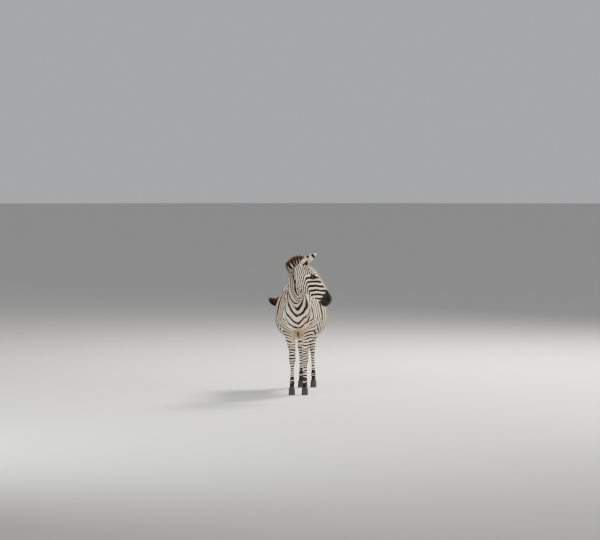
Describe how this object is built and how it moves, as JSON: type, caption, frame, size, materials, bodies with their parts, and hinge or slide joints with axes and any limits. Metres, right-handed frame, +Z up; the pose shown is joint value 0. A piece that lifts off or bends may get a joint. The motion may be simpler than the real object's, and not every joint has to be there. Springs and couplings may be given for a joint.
{
  "type": "plains zebra",
  "caption": "Life-size standing plains zebra with its head turned to its left, upright mane and tail swung out to the right.",
  "frame": {"origin": "middle of the bounding box, on the floor that the hooves stand on", "axes": "+Z up, -Y the way the body faces, +X to the animal's left"},
  "size_m": [0.8488, 1.7294, 1.6582],
  "materials": {
    "coat": "short glossy hair in black and cream stripes",
    "mane_hair": "stiff upright hair, striped black and white with brown tips",
    "tail_hair": "long coarse dark brown to black hair",
    "horn": "dark horn with fine growth rings",
    "eye": "wet, dark brown"
  },
  "bodies": {
    "root": {"ear_left": "coat", "ear_right": "coat", "eye_left": "eye", "eye_right": "eye", "head": "coat", "hoof_fore_left": "horn", "hoof_fore_right": "horn", "hoof_hind_left": "horn", "hoof_hind_right": "horn", "leg_fore_left": "coat", "leg_fore_right": "coat", "leg_hind_left": "coat", "leg_hind_right": "coat", "mane": "mane_hair", "neck": "coat", "tail_dock": "coat", "tail_tuft": "tail_hair", "trunk": "coat"}
  },
  "joints": []
}
